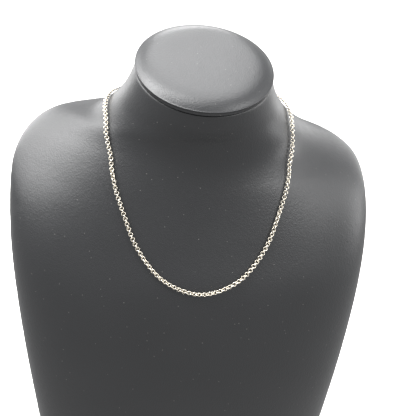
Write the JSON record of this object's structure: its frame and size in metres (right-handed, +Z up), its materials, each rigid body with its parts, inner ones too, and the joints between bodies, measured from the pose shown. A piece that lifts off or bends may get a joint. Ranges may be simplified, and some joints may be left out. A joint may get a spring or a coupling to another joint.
{
  "type": "rolo chain on a neck bust",
  "caption": "Fine silver rolo chain of round links in oval wire, worn by a plain black neck bust with a padded round cap; a plain ring clasp joins the chain at the back.",
  "frame": {"origin": "middle of the flat base, on the surface that the bust stands on", "axes": "+Z up, -Y is the way the bust faces, +X is the wearer's left"},
  "size_m": [0.2336, 0.1183, 0.3105],
  "materials": {
    "bust_cover": "matt black leatherette with a fine grain",
    "cap_cover": "matt black leatherette, drawn over padding",
    "chain_silver": "polished silver"
  },
  "bodies": {
    "root": {"neck_bust": "bust_cover", "neck_cap": "cap_cover", "chain_front": "chain_silver", "nape_left": "chain_silver", "nape_right": "chain_silver", "clasp": "chain_silver"}
  },
  "joints": []
}
